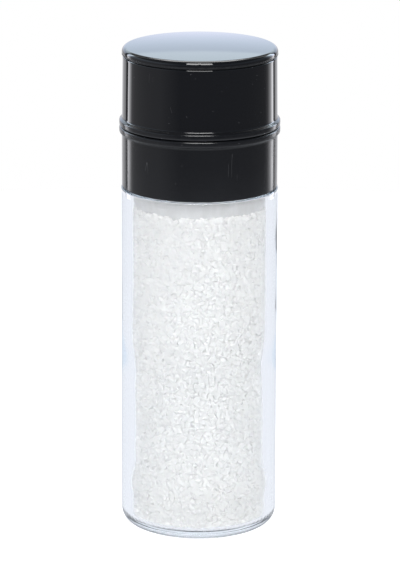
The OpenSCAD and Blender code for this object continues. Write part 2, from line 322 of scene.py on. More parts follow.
def glossBlack(name, roughLow, roughHigh, wave, wornMiddle, wornReach, wornRough):
    # injection-moulded black plastic: a deep gloss with a slow ripple, dust, a few hairlines
    # and a band worn duller
    black, dusty = (0.005, 0.0055, 0.007), (0.34, 0.34, 0.36)
    material, tree, bsdf = newMaterial(name, black, IOR=1.47)
    grain = addGroup(tree, mouldGrain, Grain_Scale=90, Drift_Scale=45,
                     Rough_Low=roughLow, Rough_High=roughHigh)
    dustAndShade = addGroup(tree, dustSpecks, Speck_Scale=760, Speck_Size=0.075, Keep=0.93, Scratch_Width=0.0022)
    band = addGroup(tree, wornBand, Middle=wornMiddle, Reach=wornReach, Rough=wornRough)
    marks = calc(tree, "MULTIPLY_ADD", dustAndShade["Specks"], 0.3, calc(tree, "MULTIPLY", dustAndShade["Scratches"], 0.1))
    rougher = calc(tree, "MULTIPLY_ADD", marks, 0.4, grain["Rough"])
    feedNamed(tree, bsdf, Base_Color=mixColours(tree, marks, black, dusty),
              Roughness=calc(tree, "ADD", rougher, band["Rough"]))
    addBump(tree, bsdf, grain["Height"], 1, wave)
    return material


def mattBlack(name):
    # spark-textured black plastic
    black, dusty = (0.013, 0.013, 0.014), (0.4, 0.4, 0.4)
    material, tree, bsdf = newMaterial(name, black, IOR=1.47)
    grain = addGroup(tree, mouldGrain, Grain_Scale=5200, Drift_Scale=160, Rough_Low=0.42, Rough_High=0.58)
    dustAndShade = addGroup(tree, dustSpecks, Speck_Scale=900, Speck_Size=0.09, Keep=0.8)
    feedNamed(tree, bsdf, Base_Color=mixColours(tree, dustAndShade["Specks"], black, dusty), Roughness=grain["Rough"])
    addBump(tree, bsdf, grain["Height"], 0.5, 0.03 * mm)
    return material


def clearGlass(name):
    # thick soda glass: a faint blue in the long paths, mould ripple and a few smears
    material, tree, bsdf = newMaterial(name, (1, 1, 1), IOR=1.5, Transmission_Weight=1.0, Roughness=0.0)
    grain = addGroup(tree, mouldGrain, Grain_Scale=55, Drift_Scale=35, Rough_Low=0.0, Rough_High=0.012)
    colour = mixColours(tree, grain["Drift"], (0.985, 0.995, 1), (0.995, 1, 1))
    feedNamed(tree, bsdf, Base_Color=colour, Roughness=grain["Rough"])
    addBump(tree, bsdf, grain["Height"], 1, 0.05 * mm)
    tint = addNode(tree, "ShaderNodeVolumeAbsorption", Color=(0.72, 0.88, 1), Density=5)
    feedNamed(tree, tree.nodes["Material Output"], Volume=tint.outputs["Volume"])
    return material


def saltCrystal(name, subsurface):
    # white crystals: each a little clearer or cloudier than the next
    material, tree, bsdf = newMaterial(name, (0.9, 0.9, 0.91), IOR=1.4, Subsurface_Weight=subsurface,
                                       Subsurface_Scale=0.8 * mm, Subsurface_Radius=(1, 1, 1))
    grain = addGroup(tree, mouldGrain, Grain_Scale=2600, Drift_Scale=520, Rough_Low=0.18, Rough_High=0.5)
    cloud = addGroup(tree, mouldGrain, Grain_Scale=1800, Drift_Scale=75, Rough_Low=0, Rough_High=1)
    clear = mixColours(tree, grain["Drift"], (0.93, 0.925, 0.925), (0.99, 0.985, 0.98))
    warm = mixColours(tree, cloud["Rough"], clear, (0.965, 0.955, 0.93))
    feedNamed(tree, bsdf, Base_Color=mixColours(tree, 0.25, clear, warm), Roughness=grain["Rough"])
    addBump(tree, bsdf, grain["Height"], 0.35, 0.06 * mm)
    return material


# fine dust streaked down the glass, in a grey that paints the shade on the salt top under the collar
def dustFilmPaintedShade(name):
    # fine dust, streaked down the glass
    # painted shade: the film is set greyer than the salt so that it shows as the shaded salt top
    material, tree, bsdf = newMaterial(name, (0.68, 0.68, 0.69), IOR=1.3, Roughness=0.7)
    streaks = noise(tree, drawnOut(tree, onPiece(tree), (1, 1, 0.12)), 420, 3)
    grain = addGroup(tree, mouldGrain, Grain_Scale=3000, Drift_Scale=200, Rough_Low=0.6, Rough_High=0.8)
    colour = mixColours(tree, streaks, (0.58, 0.58, 0.58), (0.78, 0.78, 0.80))
    feedNamed(tree, bsdf, Base_Color=colour, Roughness=grain["Rough"])
    addBump(tree, bsdf, grain["Height"], 0.3, 0.03 * mm)
    return material


def plainPlastic(name, colour, roughLow, roughHigh):
    material, tree, bsdf = newMaterial(name, colour, IOR=1.46)
    grain = addGroup(tree, mouldGrain, Grain_Scale=3600, Drift_Scale=220,
                     Rough_Low=roughLow, Rough_High=roughHigh)
    darker = tuple(0.88 * c for c in colour)
    feedNamed(tree, bsdf, Base_Color=mixColours(tree, grain["Drift"], darker, colour),
              Roughness=grain["Rough"])
    addBump(tree, bsdf, grain["Height"], 0.3, 0.02 * mm)
    return material


def turnedMetal(name, colour, roughLow, roughHigh):
    material, tree, bsdf = newMaterial(name, colour, Metallic=1.0)
    marks = addGroup(tree, latheMarks, Ring_Scale=9000, Rough_Low=roughLow, Rough_High=roughHigh)
    grain = addGroup(tree, mouldGrain, Grain_Scale=3000, Drift_Scale=300, Rough_Low=0, Rough_High=1)
    duller = tuple(0.8 * c for c in colour)
    feedNamed(tree, bsdf, Base_Color=mixColours(tree, grain["Drift"], duller, colour),
              Roughness=marks["Rough"])
    addBump(tree, bsdf, marks["Height"], 0.4, 0.01 * mm)
    return material


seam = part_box("cap_shell")[0].z
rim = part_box("top_disc")[0].z
capBlack = glossBlack("capBlack", 0.02, 0.05, 0.02 * mm, seam, 2.6 * mm, 0.14)
discBlack = glossBlack("discBlack", 0.04, 0.08, 0.01 * mm, rim, 2.0 * mm, 0.45)
collarBlack = glossBlack("collarBlack", 0.12, 0.17, 0.03 * mm, seam, 3.0 * mm, 0.08)
mechanismBlack = mattBlack("mechanismBlack")
jarGlass = clearGlass("jarGlass")
crystalWhite = saltCrystal("crystalWhite", 0.35)
coreWhite = saltCrystal("coreWhite", 0.0)
# painted shade: a grey film standing in for the shaded salt top under the collar
dustPaintedShade = dustFilmPaintedShade("dustPaintedShade")
burrCeramic = plainPlastic("burrCeramic", (0.84, 0.82, 0.77), 0.45, 0.62)
gasketWhite = plainPlastic("gasketWhite", (0.78, 0.78, 0.76), 0.4, 0.55)
washerWhite = plainPlastic("washerWhite", (0.86, 0.86, 0.84), 0.3, 0.45)
brightSteel = turnedMetal("brightSteel", (0.62, 0.61, 0.6), 0.18, 0.34)
turnedBrass = turnedMetal("turnedBrass", (0.78, 0.57, 0.25), 0.22, 0.38)
print("materials ready")

jar = {
    "steps": 256,
    "heelRadius": 4.6 * mm,
    "stepRadius": 0.4 * mm,      # the outer edge under the collar
    "collarGap": 0.4 * mm,       # between that edge and the collar
    "landInset": 1.3 * mm,       # the narrower glass inside the collar
    "landHeight": 4.4 * mm,
    "landRound": 0.25 * mm,
    "shoulderRadius": 0.9 * mm,
    "standingWidth": 3.2 * mm,
    "standingRound": 0.5 * mm,
    "puntDepth": 1.6 * mm,
    "puntRound": 0.8 * mm,
    "baseThickness": 3.0 * mm,
    "baseRise": 0.96 * mm,       # how far the floor of the bore rises in the middle
    "wallThin": 3.4 * mm,
    "wallMiddle": 3.5 * mm,
    "wallThick": 4.1 * mm,
    "thickening": (0.11, 0.19),  # where the wall changes, as shares of the height
    "thinning": (0.44, 0.56),
    "thinEnd": (0.78, 0.88),
    "neckWall": 2.4 * mm,
    "neckRound": 0.6 * mm,
    "lipRound": 0.7 * mm,
    "lipRoundInside": 0.6 * mm,
    "cornerRadius": 1.4 * mm,
    "throatDrop": 2.2 * mm,      # from the shoulder down to the throat
    "throatRadius": 2.2 * mm,
    "throatEdge": 0.9 * mm,
    "threadHeight": 0.9 * mm,
    "threadHalfWidth": 0.9 * mm,
    "threadPitch": 3.0 * mm,
    "threadArcs": 6,
    "threadSweep": 48,           # degrees of each arc
    "threadTaper": 0.12,         # share of an arc over which its end fades
    "threadDrop": 2.2 * mm,      # from the lip to the middle of the first arc
    "ripple": 0.06 * mm,
    "knurlDepth": 0.12 * mm,
}
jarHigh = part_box("glass_jar")[1]
jarRadius = jarHigh.x
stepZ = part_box("grip_collar")[0].z - jar["collarGap"]
shoulderZ = stepZ + jar["landHeight"]
throatZ = shoulderZ - jar["throatDrop"]
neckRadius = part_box("neck_gasket")[1].x
neckTop = jarHigh.z
neckInside = neckRadius - jar["neckWall"]


def boreRadius(z):
    # the wall is thin at both ends and thickest in the lower third
    t = z / stepZ
    wall = (jar["wallThin"] + (jar["wallThick"] - jar["wallThin"]) * ease(t, *jar["thickening"])
            - (jar["wallThick"] - jar["wallMiddle"]) * ease(t, *jar["thinning"])
            - (jar["wallMiddle"] - jar["wallThin"]) * ease(t, *jar["thinEnd"]))
    return jarRadius - wall


def floorHeight(radius):
    # the inside of the base, a low dome
    edge = boreRadius(jar["baseThickness"]) - jar["cornerRadius"]
    u = min(1, radius / edge)
    return jar["baseThickness"] + jar["baseRise"] * (1 - u * u)


def jarOutside():
    # from the middle of the hollow base, over the heel and up to the land inside the collar
    heel, step, shoulder = (jar[k] for k in ("heelRadius", "stepRadius", "shoulderRadius"))
    ring, punt, puntRound, land = (jar[k] for k in ("standingRound", "puntDepth", "puntRound", "landRound"))
    standOut = jarRadius - heel
    standIn = standOut - jar["standingWidth"]
    landRadius = jarRadius - jar["landInset"]
    outline = [(0, punt)]
    outline += linePoints((2 * mm, punt), (standIn - 3 * puntRound, punt - 0.1 * mm), 6)
    outline += arcPoints(standIn - 2 * puntRound, punt - puntRound, puntRound, 70, 10, 5)
    outline += arcPoints(standIn + 0.3 * mm, ring, ring, 200, 270, 5)
    outline += linePoints((standIn + ring, 0), (standOut - 0.2 * mm, 0), 6)
    outline += arcPoints(standOut, heel, heel, -90, 0, 28)
    outline += linePoints((jarRadius, heel + 1 * mm), (jarRadius, stepZ - step - 0.3 * mm), 40)
    outline += arcPoints(jarRadius - step, stepZ - step, step, 0, 90, 8)
    outline += arcPoints(landRadius + land, stepZ + land, land, 270, 180, 4)
    outline += linePoints((landRadius, stepZ + 0.4 * mm), (landRadius, shoulderZ - shoulder - 0.2 * mm), 4)
    outline += arcPoints(landRadius - shoulder, shoulderZ - shoulder, shoulder, 0, 90, 8)
    return outline


def jarNeck():
    root, lip, lipInside = (jar[k] for k in ("neckRound", "lipRound", "lipRoundInside"))
    throatEdge = jar["throatEdge"]
    outline = arcPoints(neckRadius + root, shoulderZ + root, root, 270, 185, 5)
    outline += linePoints((neckRadius, shoulderZ + 0.8 * mm), (neckRadius, neckTop - 0.9 * mm), 32)
    outline += arcPoints(neckRadius - lip, neckTop - lip, lip, 5, 88, 7)
    outline += arcPoints(neckInside + lipInside, neckTop - lipInside, lipInside, 92, 175, 7)
    outline += linePoints((neckInside, neckTop - 1 * mm), (neckInside, throatZ + throatEdge + 0.2 * mm), 8)
    outline += arcPoints(neckInside + throatEdge, throatZ + throatEdge, throatEdge, 180, 270, 7)
    return outline


def jarBore():
    # from the throat down the wall and over the floor to the middle
    throat, corner, baseTop = (jar[k] for k in ("throatRadius", "cornerRadius", "baseThickness"))
    boreTop = throatZ - throat
    cornerX = boreRadius(baseTop + corner) - corner
    outline = arcPoints(boreRadius(boreTop) - throat, boreTop, throat, 90, 0, 14)
    outline += [(boreRadius(z), z) for _, z in linePoints((0, boreTop - 0.3 * mm), (0, baseTop + corner), 90)]
    outline += arcPoints(cornerX, baseTop + corner, corner, -6, -84, 10)
    outline += [(cornerX * (1 - i / 8), floorHeight(cornerX * (1 - i / 8))) for i in range(1, 9)]
    return outline


def threadRelief(radius, turn, z):
    # rounded arcs on the neck, each a step lower than the one before
    arcStep = tau / jar["threadArcs"]
    which = np.floor(turn / arcStep)
    along = (turn - which * arcStep) / math.radians(jar["threadSweep"])
    ends = np.clip(np.minimum(along, 1 - along) / jar["threadTaper"], 0, 1)
    middle = neckTop - jar["threadDrop"] - which * jar["threadPitch"] / jar["threadArcs"]
    across = np.clip(1 - np.abs(z - middle) / jar["threadHalfWidth"], 0, 1)
    across = across * across * (3 - 2 * across)
    onNeck = (radius > neckRadius - 0.1 * mm) & (z > shoulderZ + 0.8 * mm) & (z < neckTop - 0.8 * mm)
    return np.where(onNeck, jar["threadHeight"] * across * ends, 0)


def boreRipple(radius, angle, z):
    # the bore isn't quite true: slow ripples round and along it, fading out at both ends
    inBore = (radius < jarRadius - 1.5 * mm) & (z > jar["baseThickness"] + 3 * mm) & (z < stepZ - 5 * mm)
    fade = np.clip((z - 8 * mm) / (10 * mm), 0, 1) * np.clip((stepZ - 6 * mm - z) / (8 * mm), 0, 1)
    wave = (0.5 * np.sin(2 * angle + 0.6 + 25 * z) + 0.3 * np.sin(5 * angle + 2.1 - 60 * z)
            + 0.2 * np.sin(9 * angle + 140 * z))
    return np.where(inBore, jar["ripple"] * wave * fade, 0)


def knurlRelief(radius, turn, z):
    # two columns of the standing ring stand, the next two sit a little higher
    column = np.round(turn / (tau / jar["steps"])).astype(int)
    ringInside = jarRadius - jar["heelRadius"] - jar["standingWidth"] + 0.2 * mm
    return np.where((z < 0.35 * mm) & (radius > ringInside) & (column % 4 < 2), jar["knurlDepth"], 0)


def makeJar():
    piece = turned("glassJar", jarOutside() + jarNeck() + jarBore(), jar["steps"])
    co = vertexTable(piece)
    radius = np.hypot(co[:, 0], co[:, 1])
    angle = np.arctan2(co[:, 1], co[:, 0])
    turn = angle % tau
    z = co[:, 2]
    setRadius(co, radius, radius + threadRelief(radius, turn, z) + boreRipple(radius, angle, z))
    co[:, 2] += knurlRelief(radius, turn, z)
    setVertexTable(piece, co)
    smoothByAngle(piece, 50)
    return place(piece, "jar", "clear_glass", jarGlass, "glass_jar")


makeJar()
print("jar made")

salt = {
    "airGap": 0.12 * mm,        # between the crystals and the glass
    "coreDepth": 1.1 * mm,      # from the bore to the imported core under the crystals
    "coreLift": 0.9 * mm,       # of the core over the glass floor
    "coreDrop": 1.2 * mm,       # of the core under the top of the fill
    "layerHeights": (26 * mm, 48 * mm, 70 * mm),  # where one layer of crystals ends and the next begins
    "grainSmall": 1.25 * mm,
    "grainLarge": 2.3 * mm,
    "spacing": 1.02 * mm,
    "variants": 6,
    "seed": 11,
    "topUneven": 0.9 * mm,
}
# the film over the fill: dust on the glass, with painted shade for the salt top under the collar
dustAndShade = {
    "thickness": 0.08 * mm,
    "tuckDepth": 2.4 * mm,      # how far the film goes on down behind the crystals
    "tuckInset": 0.9 * mm,      # and how far it leans in there
}
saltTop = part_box("salt_fill")[1].z


def saltSurface(z, depth):
    # radius of the salt at a height, rounded in at the corner of the base
    corner = jar["cornerRadius"]
    down = min(corner, max(0, jar["baseThickness"] + corner - z))
    straight = boreRadius(max(z, jar["baseThickness"] + corner)) - depth
    return straight - corner + math.sqrt(corner ** 2 - down ** 2)


def saltSide(zStart, zEnd, depth, steps):
    return [(saltSurface(z, depth), z) for _, z in linePoints((0, zStart), (0, zEnd), steps)]


def saltBase(radiusStart, radiusEnd):
    line = linePoints((radiusStart, 0), (radiusEnd, 0), 10)
    return [(r, floorHeight(r) + salt["coreLift"]) for r, _ in line]


def makeGrainKinds():
    # bevelled blocks, each flatter or squarer than the next, with uneven corners
    kinds = bpy.data.collections.new("grainKinds")
    bpy.context.scene.collection.children.link(kinds)
    for i in range(salt["variants"]):
        clearSelection()
        bpy.ops.mesh.primitive_cube_add(size=1)
        grain = bpy.context.object
        grain.name = "grainKind_%d" % i
        grain.scale = (1, 0.72 + 0.05 * i, 0.6 + 0.06 * ((i * 2) % 5))
        settle(grain)
        bpy.ops.object.mode_set(mode="EDIT")
        bpy.ops.mesh.select_all(action="SELECT")
        bpy.ops.mesh.bevel(offset=0.1 + 0.02 * (i % 3), segments=1, affect="EDGES")
        bpy.ops.transform.vertex_random(offset=0.075, uniform=0.0, normal=0.0, seed=salt["seed"] + i)
        bpy.ops.object.mode_set(mode="OBJECT")
        for owner in list(grain.users_collection):
            owner.objects.unlink(grain)
        kinds.objects.link(grain)
    return kinds


def scatterTree(kinds, seed):
    tree = bpy.data.node_groups.new("grainScatter", "GeometryNodeTree")
    tree.interface.new_socket("Geometry", in_out="INPUT", socket_type="NodeSocketGeometry")
    tree.interface.new_socket("Geometry", in_out="OUTPUT", socket_type="NodeSocketGeometry")
    surface = tree.nodes.new("NodeGroupInput").outputs[0]
    points = addNode(tree, "GeometryNodeDistributePointsOnFaces", settings={"distribute_method": "POISSON"},
                     Mesh=surface, Distance_Min=salt["spacing"],
                     Density_Max=4 / salt["spacing"] ** 2, Seed=seed)
    pool = addNode(tree, "GeometryNodeCollectionInfo", Collection=kinds, Separate_Children=True,
                   Reset_Children=True)
    turn = addNode(tree, "FunctionNodeRandomValue", settings={"data_type": "FLOAT_VECTOR"},
                   Max=(tau, tau, tau), Seed=seed + 1)
    size = addNode(tree, "FunctionNodeRandomValue", settings={"data_type": "FLOAT"}, Seed=seed + 2)
    sizeInputs = [s for s in size.inputs if s.type == "VALUE" and s.enabled]
    sizeInputs[0].default_value = salt["grainSmall"]
    sizeInputs[1].default_value = salt["grainLarge"]
    grains = addNode(tree, "GeometryNodeInstanceOnPoints", Points=points.outputs["Points"],
                     Instance=pool.outputs[0], Pick_Instance=True, Rotation=turn.outputs["Value"],
                     Scale=[s for s in size.outputs if s.enabled][0])
    real = addNode(tree, "GeometryNodeRealizeInstances", Geometry=grains.outputs["Instances"])
    addNode(tree, "NodeGroupOutput", real.outputs["Geometry"])
    return tree


def grainLayer(name, outline, kinds, seed):
    piece = turned(name, outline, 128)
    scatter = piece.modifiers.new("scatter", "NODES")
    scatter.node_group = scatterTree(kinds, seed)
    applyAll(piece)
    # no crystal passes the glass or the top of the fill
    co = vertexTable(piece)
    radius = np.hypot(co[:, 0], co[:, 1])
    floor = np.array([floorHeight(r) for r in radius]) + salt["airGap"]
    co[:, 2] = np.clip(co[:, 2], floor, saltTop)
    limit = np.array([saltSurface(z, salt["airGap"]) for z in co[:, 2]])
    setRadius(co, radius, np.minimum(radius, limit))
    setVertexTable(piece, co)
    pick(piece)
    bpy.ops.object.shade_flat()
    return place(piece, "jar", "coarse_salt", crystalWhite)


def makeCore(outline, coreTop):
    core = turned("saltCore", outline, 128)
    co = vertexTable(core)
    uneven = np.sin(co[:, 0] * 260 + 1) * np.cos(co[:, 1] * 210) + np.sin(co[:, 0] * 90 + co[:, 1] * 120)
    co[:, 2] += np.where(co[:, 2] > coreTop - 0.1 * mm, salt["topUneven"] * 0.4 * (uneven - 1), 0)
    setVertexTable(core, co)
    smoothByAngle(core)
    return place(core, "jar", "coarse_salt", coreWhite, "salt_fill")


def makeSalt():
    kinds = makeGrainKinds()
    depth = salt["coreDepth"]
    coreTop = saltTop - salt["coreDrop"]
    coreFloor = floorHeight(1) + salt["coreLift"]
    edge = saltSurface(coreFloor, depth)
    outline = saltBase(0, edge - 0.6 * mm)
    outline += saltSide(coreFloor + 0.5 * mm, coreTop, depth, 60)
    outline += linePoints((saltSurface(coreTop, depth) - 0.5 * mm, coreTop), (0, coreTop), 16)
    makeCore(outline, coreTop)
    grainDepth = depth - 0.1 * mm
    seed = salt["seed"] * 10
    cuts = (coreFloor - 0.2 * mm, *salt["layerHeights"], coreTop)
    for i, (low, high) in enumerate(zip(cuts, cuts[1:])):
        grainLayer("saltCrystals_%d" % i, saltSide(low, high, grainDepth, 24), kinds, seed + i)
    top = linePoints((saltSurface(coreTop, grainDepth), coreTop), (0.2 * mm, coreTop - 0.3 * mm), 14)
    grainLayer("saltCrystals_top", top, kinds, seed + 9)
    grainLayer("saltCrystals_bottom", saltBase(0.2 * mm, edge), kinds, seed + 7)
    for grain in list(kinds.objects):
        bpy.data.objects.remove(grain)
    bpy.data.collections.remove(kinds)


def makeDustAndShadeFilm():
    # salt dust on the glass over the fill, a grey sheet painting the shade on the salt top under the collar,
    # its lower edge tucked in behind the crystals
    top = throatZ - jar["throatRadius"]
    low = saltTop - dustAndShade["tuckDepth"]
    outer = [(boreRadius(z) - salt["airGap"] - dustAndShade["tuckInset"] * (1 - ease(z, low, top)), z)
             for _, z in linePoints((0, low), (0, top), 14)]
    inner = [(r - dustAndShade["thickness"], z) for r, z in reversed(outer)]
    piece = turned("saltDust", outer + inner + outer[:1], 128)
    smoothByAngle(piece)
    return place(piece, "jar", "coarse_salt", dustPaintedShade)


makeSalt()
makeDustAndShadeFilm()
print("salt filled")

collar = {
    "wall": 1.8 * mm,
    "inset": 0.2 * mm,           # of the skirt from the glass
    "edgeRound": 0.12 * mm,
    "filletUnder": 0.3 * mm,     # under the bead
    "ridgeRound": 0.62 * mm,
    "ridgeHeight": 2.1 * mm,
    "seamGap": 0.15 * mm,        # between the bead's two ridges
    "shelfThickness": 1.5 * mm,
    "shelfReach": 3.9 * mm,      # past the outside of the slip washer
    "spigotWall": 1.5 * mm,
    "bridgeFit": 0.02 * mm,
    "spigotRoot": 0.15 * mm,
    "spigotRound": 0.5 * mm,
    "spigotRoundInside": 0.2 * mm,
}
cap = {
    "wall": 1.2 * mm,
    "inset": 0.05 * mm,          # of the wall from the collar's
    "draft": 0.2 * mm,
    "lipRound": 0.4 * mm,
    "ridgeRound": 0.62 * mm,
    "ridgeHeight": 2.1 * mm,
    "fillet": 0.75 * mm,
    "topRound": 0.45 * mm,
    "roof": 2.4 * mm,
    "roofRound": 0.8 * mm,
    "plugDepth": 1.1 * mm,
    "plugInset": 2.4 * mm,       # of the disc's plug from the inside wall
}
disc = {
    "rim": 2.3 * mm,
    "edge": 1.4 * mm,
    "edgeStart": 0.8 * mm,       # height at which the rim starts to round over
    "dome": 0.8 * mm,
    "groove": 0.35 * mm,
    "neckInset": 0.6 * mm,
    "lip": 0.12 * mm,
    "edgeSteps": 14,
    "domeSteps": 21,
}

collarLow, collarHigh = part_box("grip_collar")
beadRadius = collarHigh.x
collarRadius = jarRadius - collar["inset"]
bridgeLow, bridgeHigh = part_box("drive_bridge")
spigotInside = bridgeHigh.x + collar["bridgeFit"]
spigotRadius = spigotInside + collar["spigotWall"]
capLow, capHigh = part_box("cap_shell")
seamZ = capLow.z - collar["seamGap"]
capRadius = collarRadius - cap["inset"]
capInside = capRadius - cap["draft"] - cap["wall"]
plugRadius = capInside - cap["plugInset"]
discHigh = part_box("top_disc")[1]


def collarSkirt():
    # from the skirt's inner lower edge, up the outside and over the bead
    inside, bottom = collarRadius - collar["wall"], collarLow.z
    rounding, ridge, fillet = (collar[k] for k in ("ridgeRound", "ridgeHeight", "filletUnder"))
    edge = collar["edgeRound"]
    outline = arcPoints(inside + edge, bottom + edge, edge, 180, 270, 4)
    outline += arcPoints(collarRadius - edge, bottom + edge, edge, -90, 0, 5)
    outline += linePoints((collarRadius, bottom + 0.4 * mm), (collarRadius, seamZ - ridge - 0.7 * mm), 12)
    outline += arcPoints(collarRadius + fillet, seamZ - ridge - fillet, fillet, 180, 92, 5)
    outline += arcPoints(beadRadius - rounding, seamZ - ridge + rounding, rounding, -88, 0, 9)
    outline += arcPoints(beadRadius - rounding, seamZ - rounding, rounding, 0, 90, 9)
    return outline


def collarInside():
    # the spigot that the cap slides over, then the shelf and back down the skirt
    inside, bottom, top = collarRadius - collar["wall"], collarLow.z, collarHigh.z
    root, over, overInside = (collar[k] for k in ("spigotRoot", "spigotRound", "spigotRoundInside"))
    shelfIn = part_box("slip_washer")[1].x - collar["shelfReach"]
    shelfTop = bridgeLow.z
    shelfBottom = shelfTop - collar["shelfThickness"]
    outline = [(spigotRadius + 0.2 * mm, seamZ)]
    outline += arcPoints(spigotRadius + root, seamZ + root, root, 270, 180, 3)
    outline += linePoints((spigotRadius, seamZ + 0.4 * mm), (spigotRadius, top - 0.6 * mm), 5)
    outline += arcPoints(spigotRadius - over, top - over, over, 0, 90, 6)
    outline += arcPoints(spigotInside + overInside, top - overInside, overInside, 90, 180, 4)
    outline += linePoints((spigotInside, top - 0.5 * mm), (spigotInside, shelfTop), 6)
    outline += [(shelfIn + 0.1 * mm, shelfTop), (shelfIn, shelfTop - 0.1 * mm), (shelfIn, shelfBottom)]
    outline += [(inside, shelfBottom)]
    outline += linePoints((inside, shelfBottom - 0.5 * mm), (inside, bottom + collar["edgeRound"]), 10)
    return outline


def makeCollar():
    piece = turned("gripCollar", collarSkirt() + collarInside())
    smoothByAngle(piece, 40)
    return place(piece, "head", "gloss_black_plastic", collarBlack, "grip_collar")


def makeCap():
    low, high = capLow.z, capHigh.z
    rounding, ridge, fillet, over = (cap[k] for k in ("ridgeRound", "ridgeHeight", "fillet", "topRound"))
    lip, roofRound, plugZ = cap["lipRound"], cap["roofRound"], high - cap["plugDepth"]
    topRadius = capRadius - cap["draft"]
    roofZ = high - cap["roof"]
    outline = [(0, roofZ)]
    outline += linePoints((capInside * 0.3, roofZ), (capInside - 1 * mm, roofZ), 4)
    outline += arcPoints(capInside - roofRound, roofZ - roofRound, roofRound, 88, 0, 8)
    outline += linePoints((capInside, roofZ - 1.2 * mm), (capInside, low + 0.7 * mm), 10)
    outline += arcPoints(capInside + lip, low + lip, lip, 180, 270, 5)
    outline += arcPoints(beadRadius - rounding, low + rounding, rounding, -90, 0, 9)
    outline += arcPoints(beadRadius - rounding, low + ridge - rounding, rounding, 0, 62, 7)
    outline += arcPoints(capRadius + fillet, low + ridge + fillet * 1.05, fillet, 244, 181, 9)
    outline += linePoints((capRadius, low + ridge + fillet + 0.3 * mm), (topRadius, high - 0.7 * mm), 14)
    outline += arcPoints(topRadius - over, high - over, over, 2, 90, 8)
    outline += [(plugRadius + 0.02 * mm, high), (plugRadius + 0.02 * mm, plugZ)]
    outline += [(plugRadius * 0.5, plugZ), (0, plugZ)]
    piece = turned("capShell", outline, 256)
    smoothByAngle(piece, 40)
    return place(piece, "cap", "gloss_black_plastic", capBlack, "cap_shell")


def makeDisc():
    radius, seat = discHigh.x, capHigh.z
    lip, edge, edgeStart = disc["lip"], disc["edge"], disc["edgeStart"]
    low = seat + disc["groove"]
    plugZ = seat - cap["plugDepth"]
    faceRadius = radius - edge
    faceZ = low + disc["rim"]
    neck = radius - disc["neckInset"]
    outline = [(0, plugZ), (plugRadius * 0.6, plugZ), (plugRadius, plugZ)]
    outline += [(plugRadius, seat + 0.01 * mm), (neck, seat + 0.01 * mm), (neck, low)]
    outline += arcPoints(radius - lip, low + lip, lip, -90, 0, 5)
    outline += linePoints((radius, low + 0.2 * mm), (radius, low + edgeStart - 0.05 * mm), 3)
    for i in range(1, disc["edgeSteps"] + 1):
        a = math.radians(90 * i / disc["edgeSteps"])
        z = low + edgeStart + (disc["rim"] - edgeStart) * math.sin(a)
        outline.append((faceRadius + edge * math.cos(a), z))
    for i in range(1, disc["domeSteps"] + 1):
        u = 1 - i / disc["domeSteps"]
        outline.append((faceRadius * u, faceZ + disc["dome"] * (1 - u * u)))
    piece = turned("topDisc", outline, 256)
    smoothByAngle(piece, 40)
    return place(piece, "cap", "gloss_black_plastic", discBlack, "top_disc")


makeCollar()
makeCap()
makeDisc()
print("collar, cap and disc made")

# the nodes that keep their shape and only get a finish
nodeFinish = {
    "neck_gasket": gasketWhite,
    "burr_carrier": mechanismBlack,
    "stator_burr": burrCeramic,
    "stator_clip": brightSteel,
    "drive_bridge": mechanismBlack,
    "bridge_screws": brightSteel,
    "slip_washer": washerWhite,
    "rotor_spindle": brightSteel,
    "rotor_burr": burrCeramic,
    "rotor_washer": brightSteel,
    "rotor_nut": brightSteel,
    "spring_seat": brightSteel,
    "burr_spring": brightSteel,
    "adjuster_knob": mechanismBlack,
    "knob_insert": turnedBrass,
    "knob_washer": washerWhite,
    "cap_liner": washerWhite,
}
for name, material in nodeFinish.items():
    node = frame["nodes"][name]
    node.data.materials.clear()
    node.data.materials.append(material)
print("mechanism finished")

view = {
    "focal": 247.2,
    "distance": 1.2084,
    "elevation": 15.01,
    "roll": 0.20,
    "aimHeight": 0.0756,
    "aimAside": 0.00024,
}
studio = {
    "floorRadius": 0.44,
    "floorGlow": 0.8,
    "keyPower": 4.4,
    "keySize": (0.26, 0.5),
    "keyDistance": 1.0,
    "keyElevation": 48,
    "keyBearings": (-12.0, 10.5),
    "backPower": 7.0,
    "backSize": (0.7, 0.5),
    "backDistance": 1.0,
    "backElevation": 66,
    "lampAim": 0.06,             # height of the point that the lamps face
    # bearing from the camera's side, and how bright the room is there: dark in front,
    # a strip light and a dark gap each side, then a pale backdrop
    "room": [(-180, 0.24), (-143.2, 0.20), (-141.8, 0.02), (-134.6, 0.02), (-133.4, 1.0), (-130.0, 0.8),
             (-121, 0.14), (-114, 0.10), (-60, 0.09), (-30, 0.03), (30, 0.03), (114, 0.04), (121, 0.10),
             (130.5, 0.45), (135.5, 1.0), (139.8, 0.9), (141.2, 0.02), (147.0, 0.02), (148.4, 0.20),
             (180, 0.24)],
    "roomStrength": 17,
    # height from straight down at 0 to straight up at 1, and the light's colour there
    "climb": [(0.0, (0.25, 0.25, 0.26)), (0.49, (0.25, 0.25, 0.26)), (0.529, (0.375, 0.397, 0.471)),
              (0.557, (0.367, 0.404, 0.489)), (0.591, (0.363, 0.418, 0.50)), (0.631, (0.36, 0.42, 0.50)),
              (0.637, (0.46, 0.53, 0.60)), (0.70, (0.52, 0.61, 0.68)), (0.74, (0.1, 0.1, 0.1)),
              (1.0, (0.1, 0.1, 0.1))],
    "throughColour": (0.875, 0.9, 0.965),   # what shows through the clear glass
    "fillColour": (0.93, 0.96, 1.0),
    "fillStrength": 0.35,
    "insideColour": (1.0, 0.985, 0.97),     # what lights the salt through the glass
    "insideStrength": 1.38,
    "bounces": 40,
    "glassBounces": 32,
}


